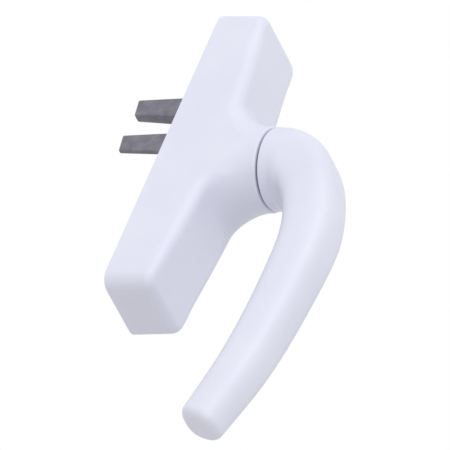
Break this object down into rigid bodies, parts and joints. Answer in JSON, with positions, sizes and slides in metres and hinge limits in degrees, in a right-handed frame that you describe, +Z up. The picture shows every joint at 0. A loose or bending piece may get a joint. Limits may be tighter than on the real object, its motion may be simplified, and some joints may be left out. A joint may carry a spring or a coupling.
{
  "type": "tilt turn window handle",
  "caption": "Window handle with a round-necked die-cast housing, a curved lever, and a rack and pinion that slides a two-pronged fork behind it.",
  "frame": {"origin": "where the lever's turning axis meets the sash face", "axes": "+Z up along the housing, +Y into the sash, -Y out into the room, +X to the right seen from the room"},
  "size_m": [0.032, 0.1045, 0.1886],
  "materials": {
    "powder_white": "satin",
    "dark_zinc": "satin",
    "bright_steel": "satin",
    "zinc_plated": "satin",
    "black_nylon": "matte",
    "brass": "satin"
  },
  "bodies": {
    "housing": {"housing": "powder_white", "neck_bush": "black_nylon", "back_plate": "zinc_plated", "back_plate_screw_1": "zinc_plated", "back_plate_screw_2": "zinc_plated", "back_plate_screw_3": "zinc_plated", "back_plate_screw_4": "zinc_plated", "fixing_insert_top": "zinc_plated", "fixing_insert_bottom": "zinc_plated", "guide_strip_left": "black_nylon", "guide_strip_right": "black_nylon", "detent_spring_top": "bright_steel", "detent_spring_bottom": "bright_steel"},
    "lever": {"lever": "powder_white", "spindle": "bright_steel", "spindle_pin": "bright_steel", "retaining_washer": "bright_steel", "retaining_ring": "bright_steel", "detent_disc": "brass", "pinion": "bright_steel", "pinion_screw": "zinc_plated"},
    "slider": {"rack_slider": "zinc_plated", "fork": "dark_zinc", "fork_screw_1": "zinc_plated", "fork_screw_2": "zinc_plated"},
    "detent_ball_top": {"detent_ball_top": "bright_steel"},
    "detent_ball_bottom": {"detent_ball_bottom": "bright_steel"}
  },
  "joints": [
    {"name": "lever_turn", "type": "hinge", "parent": "housing", "child": "lever", "pos_m": [0, 0, 0], "axis": [0, -1, 0], "range_deg": [0, 180]},
    {"name": "rack_slide", "type": "slide", "parent": "housing", "child": "slider", "axis": [0, 0, -1], "range_m": [0, 0.0354]},
    {"name": "ball_top_press", "type": "slide", "parent": "housing", "child": "detent_ball_top", "axis": [0, 0, 1], "range_m": [0, 0.0008], "stiffness_N_per_m": 50, "springref_m": -0.001, "deforming": ["detent_spring_top"]},
    {"name": "ball_bottom_press", "type": "slide", "parent": "housing", "child": "detent_ball_bottom", "axis": [0, 0, -1], "range_m": [0, 0.0008], "stiffness_N_per_m": 50, "springref_m": -0.001, "deforming": ["detent_spring_bottom"]}
  ],
  "couplings": [
    {"joint": "rack_slide", "follows": "lever_turn", "m_per_rad": 0.01125}
  ]
}
